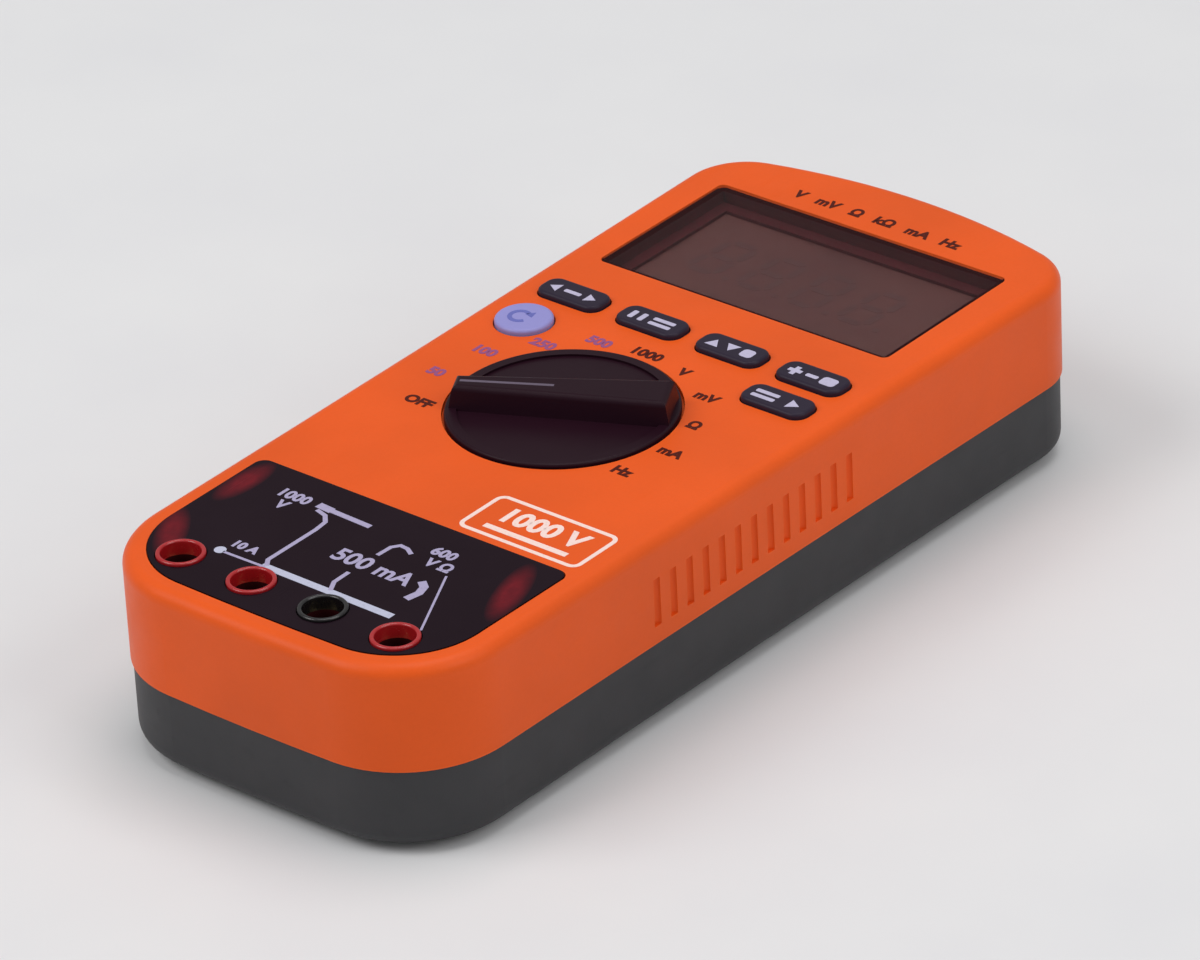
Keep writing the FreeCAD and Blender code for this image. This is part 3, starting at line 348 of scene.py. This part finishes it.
def link(name, data):
    """New object in the scene that shows some data."""
    holder = bpy.data.objects.new(name, data)
    bpy.context.scene.collection.objects.link(holder)
    return holder


def place(name, mesh, material, body):
    """Add a mesh as a piece with the given material that rides on a body."""
    piece = link(name, mesh)
    mesh.materials.clear()
    mesh.materials.append(material)
    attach(piece, body)


def flat_faces(outlines, z, thickness=PRINT):
    """Mesh of thin plates that stand on z, one for each outline, a list of (x, y)."""
    build = bmesh.new()
    for outline in outlines:
        corners = [build.verts.new((x, y, z)) for x, y in outline]
        face = build.faces.new(corners)
        face.normal_update()
        if face.normal.z < 0:
            face.normal_flip()
        raised = bmesh.ops.extrude_face_region(build, geom=[face])["geom"]
        verts = [element for element in raised if isinstance(element, bmesh.types.BMVert)]
        bmesh.ops.translate(build, verts=verts, vec=(0, 0, thickness))
    bmesh.ops.recalc_face_normals(build, faces=build.faces)
    mesh = bpy.data.meshes.new("plates")
    build.to_mesh(mesh)
    build.free()
    return mesh


def arc(cx, cy, radius, start, end, steps=8):
    """Points of an arc, angles in degrees."""
    points = []
    for index in range(steps + 1):
        angle = math.radians(start + (end - start) * index / steps)
        points.append((cx + radius * math.cos(angle), cy + radius * math.sin(angle)))
    return points


def rounded_rectangle(cx, cy, width, height, radius):
    """Outline of a rectangle about (cx, cy) with round corners."""
    x, y = width / 2 - radius, height / 2 - radius
    return (arc(cx + x, cy + y, radius, 0, 90) + arc(cx - x, cy + y, radius, 90, 180)
            + arc(cx - x, cy - y, radius, 180, 270) + arc(cx + x, cy - y, radius, 270, 360))


def bar(cx, cy, width, height):
    """Outline of a small bar with softened corners."""
    return rounded_rectangle(cx, cy, width, height, min(width, height) * BAR_ROUNDING)


def triangle(cx, cy, size, way):
    """Outline of a triangle that points along way, an (x, y) about 1 long."""
    wx, wy = way[0] * size, way[1] * size
    back_x, back_y = cx - wx * TRIANGLE_BACK, cy - wy * TRIANGLE_BACK
    return [(cx + wx, cy + wy), (back_x - wy, back_y + wx), (back_x + wy, back_y - wx)]


def plus(cx, cy, size, thick):
    """Outline of a plus sign."""
    a, b = size / 2, thick / 2
    corners = [(a, b), (b, b), (b, a), (-b, a), (-b, b), (-a, b),
               (-a, -b), (-b, -b), (-b, -a), (b, -a), (b, -b), (a, -b)]
    return [(cx + x, cy + y) for x, y in corners]


def ribbon(points, width, closed=False):
    """Quads of a line of even width along points, mitred at each turn."""
    points = [Vector(point) for point in points]
    count = len(points)
    left, right = [], []
    for index, point in enumerate(points):
        before = points[index - 1] if index or closed else None
        after = points[(index + 1) % count] if index + 1 < count or closed else None
        ways = []
        if before is not None:
            ways.append((point - before).normalized())
        if after is not None:
            ways.append((after - point).normalized())
        way = sum(ways, Vector((0, 0))).normalized()
        side = Vector((-way.y, way.x))
        squareness = side.dot(Vector((-ways[0].y, ways[0].x)))
        reach = width / 2 / max(SHARPEST_MITRE, squareness)
        left.append(point + side * reach)
        right.append(point - side * reach)
    quads = []
    for index in range(count if closed else count - 1):
        after = (index + 1) % count
        quads.append([left[index], left[after], right[after], right[index]])
    return [[(corner.x, corner.y) for corner in quad] for quad in quads]


def text_mesh(words, cap_height, x, y, z, bold):
    """Lettering as a thin raised mesh centred on (x, y), its strokes widened by bold all round."""
    curve = bpy.data.curves.new("words", "FONT")
    curve.body = words
    curve.size = cap_height / FONT_CAP
    curve.align_x = "CENTER"
    curve.align_y = "CENTER"
    curve.extrude = PRINT / 2
    curve.offset = bold
    curve.resolution_u = LETTER_STEPS
    holder = link("words", curve)
    bpy.context.view_layer.update()
    mesh = bpy.data.meshes.new_from_object(
        holder.evaluated_get(bpy.context.evaluated_depsgraph_get()))
    bpy.data.objects.remove(holder)
    mesh.transform(Matrix.Translation((x, y, z + PRINT / 2)))
    return mesh


# ---------------------------------------------------------------- materials for every slot

def plain_finish(record_material):
    """Finish for a hidden inner piece, worked out from its class in the record."""
    colour = [value * 255 for value in record_material["base_color"][:3]]
    kind = record_material["class"]
    name = record_material["slot"]
    if kind in ("brass", "chrome", "brushed_steel", "aluminium"):
        return metal(name, colour, 0.3)
    if kind == "rubber":
        return rubber(name, colour)
    if kind == "gloss_plastic":
        return glossy(name, colour)
    return moulded(name, colour, 0.5)


FINISHES = {
    "case_orange": moulded("case_orange", (238, 92, 26), 0.42, wear=0.30, Specular_IOR_Level=0.2),
    "case_charcoal": moulded("case_charcoal", (44, 44, 47), 0.52, grain_depth=0.02, wear=0.35),
    "window_clear": clear_window("window_clear"),
    "frame_black": moulded("frame_black", (58, 15, 20), 0.5, wear=0.1, Specular_IOR_Level=0.08),
    "lcd_panel": lcd_face("lcd_panel"),
    "button_dark": moulded("button_dark", (46, 38, 54), 0.38, grain_mm=0.25, grain_depth=0.006,
                           Specular_IOR_Level=0.15),
    "button_blue": moulded("button_blue", (152, 149, 212), 0.34, grain_mm=0.25,
                           grain_depth=0.004, wear=0.2, Specular_IOR_Level=0.25),
    "knob_black": moulded("knob_black", (36, 13, 25), 0.36, grain_mm=0.3, grain_depth=0.010,
                          wear=0.15, Specular_IOR_Level=0.12),
    "pointer_pale": ink("pointer_pale", (104, 92, 108)),
    # The second colour is the painted reflection of the orange rim in the panel.
    "panel_gloss": panel_face("panel_gloss", (27, 12, 22), (112, 24, 34)),
    "socket_metal": metal("socket_metal", (205, 180, 120), 0.28),
    "collar_red": glossy("collar_red", (170, 24, 30), 0.22, 0.3),
    "collar_black": glossy("collar_black", (22, 20, 22), 0.22, 0.3),
    "cover_charcoal": moulded("cover_charcoal", (48, 48, 51), 0.5, grain_depth=0.02, wear=0.4),
    "stand_charcoal": moulded("stand_charcoal", (38, 38, 41), 0.44, wear=0.5),
    "foot_rubber": rubber("foot_rubber", (28, 28, 29)),
    "label_silver": metal("label_silver", (176, 178, 182), 0.42, (0.04, 1.0, 1.0), (150, 148, 146)),
    "screw_steel": metal("screw_steel", (150, 150, 154), 0.34),
    "board_green": board_lacquer("board_green", (20, 70, 36)),
}
for record_material in frame["record"]["materials"]:
    if record_material["slot"] not in FINISHES:
        FINISHES[record_material["slot"]] = plain_finish(record_material)

for part in frame["record"]["subparts"]:
    node = frame["nodes"][part["node"]]
    node.data.materials.clear()
    node.data.materials.append(FINISHES[part["material_slot"]])

INK_DARK = ink("ink_dark", (80, 22, 12))
INK_VIOLET = ink("ink_violet", (150, 84, 130))
INK_LILAC = ink("ink_lilac", (172, 164, 196))
INK_WHITE = ink("ink_white", (248, 220, 212))
INK_LABEL = ink("ink_label", (192, 186, 212))
INK_PALE = ink("ink_pale", (190, 192, 214))
INK_BLUE = ink("ink_blue", (108, 112, 184))
INK_SEGMENT = ink("ink_segment", (64, 38, 38), 0.2)


# ---------------------------------------------------------------- printing on the face

DIAL_WORDS = ("OFF", "50", "100", "250", "500", "1000", "V", "mV", "\u03a9", "mA", "Hz")
DIAL_VIOLET = DIAL_WORDS[1:5]
DIAL_GAP = 2.0 * MM         # from the knob's rim to the nearest edge of a word
DIAL_FURTHER = {"50": 3.4 * MM, "100": 1.2 * MM, "250": -1.3 * MM}     # added to the gap
DIAL_CAP = 2.8 * MM
FACE_BOLD = 0.2 * MM        # widening of the strokes of the dark words on the face

BADGE_X = 25.0 * MM
BADGE_ABOVE_PANEL = 9.6 * MM        # from the panel's top edge to the badge's middle
BADGE_WIDTH = 30.6 * MM
BADGE_HEIGHT = 14.0 * MM
BADGE_CORNER_R = 1.8 * MM
BADGE_LINE = 1.0 * MM
BADGE_CAP = 5.2 * MM
BADGE_BOLD = 0.3 * MM
BADGE_NUMBER_UP = 1.3 * MM          # from the badge's middle
BADGE_RULE_DOWN = 4.1 * MM          # from the badge's middle
BADGE_RULE_HALF = 10.8 * MM
BADGE_RULE_WIDTH = 1.5 * MM

HEADING_WORDS = "V   mV   \u03a9   k\u03a9   mA   Hz"
HEADING_CAP = 2.9 * MM
HEADING_X = -0.5 * MM
HEADING_ABOVE_WINDOW = 5.7 * MM


def dial_marks():
    """OFF and ten ranges round the knob, each centred on its detent."""
    step = KNOB_RANGE / (len(DIAL_WORDS) - 1)
    for index, words in enumerate(DIAL_WORDS):
        angle = OFF_ANGLE - index * step
        mesh = text_mesh(words, DIAL_CAP, 0, 0, FACE_Z, FACE_BOLD)
        half_width = max(abs(vertex.co.x) for vertex in mesh.vertices)
        half_span = abs(math.cos(angle)) * half_width + abs(math.sin(angle)) * DIAL_CAP / 2
        reach = KNOB_R + DIAL_GAP + DIAL_FURTHER.get(words, 0.0) + half_span
        mesh.transform(Matrix.Translation((KNOB_CENTRE.x + reach * math.cos(angle),
                                           KNOB_CENTRE.y + reach * math.sin(angle), 0)))
        material = INK_VIOLET if words in DIAL_VIOLET else INK_DARK
        place("dial_mark_%02d" % index, mesh, material, "case")


def badge():
    """Plain outlined plate above the panel, with a rated voltage over a rule."""
    cx, cy = BADGE_X, PANEL_HIGH.y + BADGE_ABOVE_PANEL
    rim = rounded_rectangle(cx, cy, BADGE_WIDTH, BADGE_HEIGHT, BADGE_CORNER_R)
    rule_y = cy - BADGE_RULE_DOWN
    rule = [(cx - BADGE_RULE_HALF, rule_y), (cx + BADGE_RULE_HALF, rule_y)]
    meshes = {
        "badge_outline": flat_faces(ribbon(rim, BADGE_LINE, closed=True), FACE_Z),
        "badge_number": text_mesh("1000 V", BADGE_CAP, cx, cy + BADGE_NUMBER_UP, FACE_Z, BADGE_BOLD),
        "badge_rule": flat_faces(ribbon(rule, BADGE_RULE_WIDTH), FACE_Z),
    }
    for name, mesh in meshes.items():
        place(name, mesh, INK_WHITE, "case")


def heading():
    """Unit symbols printed in one line over the display."""
    y = WINDOW_HIGH.y + HEADING_ABOVE_WINDOW
    mesh = text_mesh(HEADING_WORDS, HEADING_CAP, HEADING_X, y, FACE_Z, FACE_BOLD)
    place("heading", mesh, INK_DARK, "case")


# ---------------------------------------------------------------- buttons

SYMBOL_UNIT = 1.3 * MM      # the symbols' own unit of length
SYMBOLS_DOWN = 0.4 * MM     # from a button's middle to its symbols' middle
UP, DOWN, LEFT, RIGHT = (0, 1), (0, -1), (-1, 0), (1, 0)


def button_symbols(cx, cy):
    """Generic pictograms about (cx, cy): a list of outlines for each pill button."""
    unit = SYMBOL_UNIT

    def dash(x, width, y=0.0, height=0.9):
        return bar(cx + x * unit, cy + y * unit, width * unit, height * unit)

    def arrow(x, size, way, y=0.0):
        return triangle(cx + x * unit, cy + y * unit, size * unit, way)

    return {
        "button_1": [arrow(-3.6, 1.2, LEFT), dash(0.0, 3.4), arrow(3.6, 1.2, RIGHT)],
        "button_2": [dash(-3.8, 1.0, height=2.4), dash(-1.8, 1.0, height=2.4),
                     dash(2.2, 4.4, 0.75), dash(2.2, 4.4, -0.75)],
        "button_3": [arrow(-3.4, 1.3, UP, -0.3), arrow(0.0, 1.3, DOWN, 0.3),
                     dash(3.4, 2.4, height=2.4)],
        "button_4": [plus(cx - 3.4 * unit, cy, 2.6 * unit, 0.9 * unit), dash(0.0, 2.4),
                     dash(3.4, 3.0, height=2.4)],
        "button_5": [dash(-2.3, 4.6, 0.75), dash(-2.3, 4.6, -0.75), arrow(3.2, 1.3, RIGHT)],
    }


def top_centre(name):
    """Middle of a button's top."""
    low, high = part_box(name)
    return (low.x + high.x) / 2, (low.y + high.y) / 2, high.z


def pill_symbols():
    """Symbols on the five pill buttons, each stroke a piece of its own."""
    for name in ("button_1", "button_2", "button_3", "button_4", "button_5"):
        cx, cy, z = top_centre(name)
        for index, outline in enumerate(button_symbols(cx, cy - SYMBOLS_DOWN)[name]):
            mesh = flat_faces([outline], z)
            place("%s_symbol_%d" % (name, index), mesh, INK_LABEL, name)


RING_AT = (-0.8 * MM, -0.4 * MM)        # from the blue button's middle
RING_R = 2.2 * MM
RING_LINE = 1.0 * MM
RING_START, RING_END = 60, 330
ARROWHEAD_AT = (0.9 * MM, 1.3 * MM)
ARROWHEAD_SIZE = 1.2 * MM
ARROWHEAD_WAY = (0.7, -0.7)


def blue_button_mark():
    """Open ring that ends in an arrowhead."""
    cx, cy, z = top_centre("button_blue")
    ring = arc(cx + RING_AT[0], cy + RING_AT[1], RING_R, RING_START, RING_END, 20)
    head = triangle(cx + ARROWHEAD_AT[0], cy + ARROWHEAD_AT[1], ARROWHEAD_SIZE, ARROWHEAD_WAY)
    mesh = flat_faces(ribbon(ring, RING_LINE) + [head], z)
    place("button_blue_mark", mesh, INK_BLUE, "button_blue")


# ---------------------------------------------------------------- display

DIGIT_WIDTH = 9.0 * MM
DIGIT_HEIGHT = 16.0 * MM
DIGIT_STEP = 13.6 * MM
DIGIT_COUNT = 4
DIGITS_LEFT = 2.0 * MM      # from the window's middle
DIGITS_UP = 0.5 * MM        # from the window's middle
STROKE = 1.9 * MM
STROKE_GAP = 0.45 * MM      # between the end of a stroke and the middle of the next
SLANT = 0.10                # sideways lean of a digit for each unit of height
POINT_SIZE = 1.6 * MM
POINT_GAP = 2.0 * MM        # from a digit's edge to the middle of its decimal point
SEGMENT_INK = 0.6 * PRINT   # thinner than print

TICK_STEPS = 40             # of the bar graph under the digits
TICK_STEP = 1.45 * MM
TICKS_UP = 4.6 * MM         # from the window's lower edge
TICK_WIDTH = 0.7 * MM
TICK_HEIGHT = 1.4 * MM
TENTH_TICK_HEIGHT = 2.2 * MM


def segment(px, py, half, thick, lying, base):
    """One six-sided bar about (px, py), half long and thick each way, that leans about base."""
    if lying:
        shape = [(-half, 0), (-half + thick, thick), (half - thick, thick), (half, 0),
                 (half - thick, -thick), (-half + thick, -thick)]
    else:
        shape = [(0, half), (thick, half - thick), (thick, -half + thick), (0, -half),
                 (-thick, -half + thick), (-thick, half - thick)]
    return [(px + x + (py + y - base) * SLANT, py + y) for x, y in shape]


def digit(cx, cy):
    """Seven bars and a decimal point."""
    across, up = (DIGIT_WIDTH - STROKE) / 2, (DIGIT_HEIGHT - STROKE) / 2
    outlines = []
    for row in (1, 0, -1):
        half = across - STROKE_GAP
        outlines.append(segment(cx, cy + row * up, half, STROKE / 2, True, cy))
    for row in (0.5, -0.5):
        for column in (-1, 1):
            half = up / 2 - STROKE_GAP
            x, y = cx + column * across, cy + row * up
            outlines.append(segment(x, y, half, STROKE / 2, False, cy))
    point_x = cx + DIGIT_WIDTH / 2 + POINT_GAP
    point_y = cy - DIGIT_HEIGHT / 2 + POINT_SIZE / 2
    outlines.append(bar(point_x, point_y, POINT_SIZE, POINT_SIZE))
    return outlines


def lcd_segments():
    """Faint unlit digits, decimal points and bar graph on the LCD."""
    outlines = []
    for index in range(DIGIT_COUNT):
        across = (index - (DIGIT_COUNT - 1) / 2) * DIGIT_STEP
        outlines += digit(WINDOW_CENTRE.x + across - DIGITS_LEFT, WINDOW_CENTRE.y + DIGITS_UP)
    for index in range(TICK_STEPS + 1):
        x = WINDOW_CENTRE.x + (index - TICK_STEPS / 2) * TICK_STEP
        height = TENTH_TICK_HEIGHT if index % 10 == 0 else TICK_HEIGHT
        outlines.append(bar(x, WINDOW_LOW.y + TICKS_UP + height / 2, TICK_WIDTH, height))
    mesh = flat_faces(outlines, LCD_Z, SEGMENT_INK)
    place("lcd_segments", mesh, INK_SEGMENT, "case")


# ---------------------------------------------------------------- terminal panel

# Each line is its width and its points. All points and places on the panel are in millimetres:
# across from its middle, and down from its top edge.
PANEL_LINES = (
    (2.0, ((-18.6, 8.1), (-14.6, 8.4))),
    (1.4, ((-14.6, 8.4), (-4.0, 8.8))),
    (1.0, ((-17.5, 9.8), (-14.6, 10.6), (-12.8, 12.6), (-12.4, 16.0), (-12.4, 30.6),
           (-11.0, 32.6))),
    (0.7, ((-22.0, 33.4), (-11.0, 33.2))),
    (1.0, ((10.0, 12.4), (8.0, 11.2), (6.0, 11.0), (4.8, 12.6), (4.6, 16.6))),
    (1.0, ((4.3, 25.0), (4.4, 29.6), (6.0, 32.6))),
    (1.8, ((18.8, 19.4), (20.6, 20.8), (21.3, 23.2), (20.6, 26.4))),
    (0.5, ((21.5, 15.0), (31.0, 34.0))),
)
# Each word with its cap height and the place of its middle.
PANEL_WORDS = (
    ("1000", 2.9, (-24.9, 8.4)), ("V", 2.9, (-24.9, 12.4)), ("10 A", 2.4, (-19.5, 29.6)),
    ("500 mA", 4.4, (7.0, 20.8)), ("600", 2.8, (15.5, 8.6)), ("V \u03a9", 2.8, (17.6, 12.8)),
)
PANEL_BOLD = 0.18 * MM
RAIL_ENDS = ((-12.0, 32.9), (22.8, 33.2))
RAIL_WIDTH = 1.9 * MM
RAIL_INK = 0.8 * PRINT      # thinner than the lines that run onto the rail
DOT_CENTRE = (-23.0, 33.2)
DOT_R = 1.3 * MM
DOT_SIDES = 24


def panel_lines():
    """Lines that lead from the markings to the sockets, like a plain wiring diagram."""
    quads = []
    for width, points in PANEL_LINES:
        quads += ribbon([panel_point(*point) for point in points], width * MM)
    mesh = flat_faces(quads, PANEL_HIGH.z)
    place("panel_lines", mesh, INK_LILAC, "case")


def panel_rail():
    """Broad line that joins the sockets, and the dot that starts it."""
    rail = ribbon([panel_point(*end) for end in RAIL_ENDS], RAIL_WIDTH)
    mesh = flat_faces(rail, PANEL_HIGH.z, RAIL_INK)
    place("panel_rail", mesh, INK_PALE, "case")
    dot = arc(*panel_point(*DOT_CENTRE), DOT_R, 0, 360 - 360 / DOT_SIDES, DOT_SIDES - 1)
    place("panel_dot", flat_faces([dot], PANEL_HIGH.z), INK_PALE, "case")


def panel_words():
    """Ratings beside the lines, each a piece of its own."""
    for index, (words, cap, middle) in enumerate(PANEL_WORDS):
        x, y = panel_point(*middle)
        mesh = text_mesh(words, cap * MM, x, y, PANEL_HIGH.z, PANEL_BOLD)
        place("panel_words_%d" % index, mesh, INK_LILAC, "case")


# ---------------------------------------------------------------- studio

CAMERA_AZIMUTH = 40.8       # degrees from the foot end, round towards the right side
CAMERA_ELEVATION = 29.7
CAMERA_ROLL = 3.0
CAMERA_DISTANCE = 1.55
CAMERA_LENS = 222.0         # millimetres, as is the sensor
CAMERA_SENSOR = 36.0
CAMERA_NEAR, CAMERA_FAR = 0.05, 50.0

FLOOR_R = 12.0
FLOOR_SIDES = 96
WORLD_STRENGTH = 0.36

# Each lamp with its place, the side of its square and its power in watts.
LAMPS = (
    ("key", (-0.9, -1.2, 1.6), 1.2, 17.0),
    ("fill", (1.5, 0.2, 1.2), 1.2, 8.0),
    ("top", (0.1, 0.3, 2.0), 1.4, 14.0),
)
LAMP_AIM = Vector((0, 0, 0.03))


def make_camera():
    """Camera on the tester's lower right, looking down along its length."""
    low, high = CAD_BOUNDS
    target = Vector((0, 0, (low.z + high.z) / 2))
    azimuth, elevation = math.radians(CAMERA_AZIMUTH), math.radians(CAMERA_ELEVATION)
    back = Vector((math.sin(azimuth) * math.cos(elevation),
                   -math.cos(azimuth) * math.cos(elevation), math.sin(elevation)))
    data = bpy.data.cameras.new("camera")
    data.lens = CAMERA_LENS
    data.sensor_width = CAMERA_SENSOR
    data.clip_start = CAMERA_NEAR
    data.clip_end = CAMERA_FAR
    camera = link("camera", data)
    turn = (-back).to_track_quat("-Z", "Y").to_matrix().to_4x4()
    roll = Matrix.Rotation(math.radians(-CAMERA_ROLL), 4, "Z")
    camera.matrix_world = Matrix.Translation(target + back * CAMERA_DISTANCE) @ turn @ roll
    bpy.context.scene.camera = camera


def make_floor():
    """Pale paper floor, faintly mottled."""
    finish = Finish("floor_paper")
    mottle = finish.remap(finish.noise(60, 3), 0.3, 0.7)
    finish.feed("Base Color", finish.mix(mottle, srgb(228, 228, 229), srgb(224, 224, 226)))
    finish.feed("Roughness", finish.remap(mottle, 0, 1, 0.75, 0.85))
    build = bmesh.new()
    bmesh.ops.create_circle(build, cap_ends=True, segments=FLOOR_SIDES, radius=FLOOR_R)
    mesh = bpy.data.meshes.new("floor")
    build.to_mesh(mesh)
    build.free()
    mesh.materials.append(finish.material)
    floor = link("floor", mesh)
    floor.location.z = CAD_BOUNDS[0].z


def make_light():
    """Pale surroundings and soft square lamps."""
    world = bpy.data.worlds.new("studio")
    bpy.context.scene.world = world
    world.use_nodes = True
    background = world.node_tree.nodes["Background"]
    background.inputs["Color"].default_value = (1.0, 1.0, 1.0, 1.0)
    background.inputs["Strength"].default_value = WORLD_STRENGTH
    for name, spot, side, power in LAMPS:
        data = bpy.data.lights.new(name, "AREA")
        data.shape = "SQUARE"
        data.size = side
        data.energy = power
        lamp = link(name, data)
        lamp.location = spot
        lamp.rotation_mode = "QUATERNION"
        lamp.rotation_quaternion = (LAMP_AIM - Vector(spot)).to_track_quat("-Z", "Y")


# ---------------------------------------------------------------- build

dial_marks()
badge()
heading()
pill_symbols()
blue_button_mark()
lcd_segments()
panel_lines()
panel_rail()
panel_words()

make_camera()
make_floor()
make_light()
bpy.context.scene.view_settings.view_transform = "Standard"
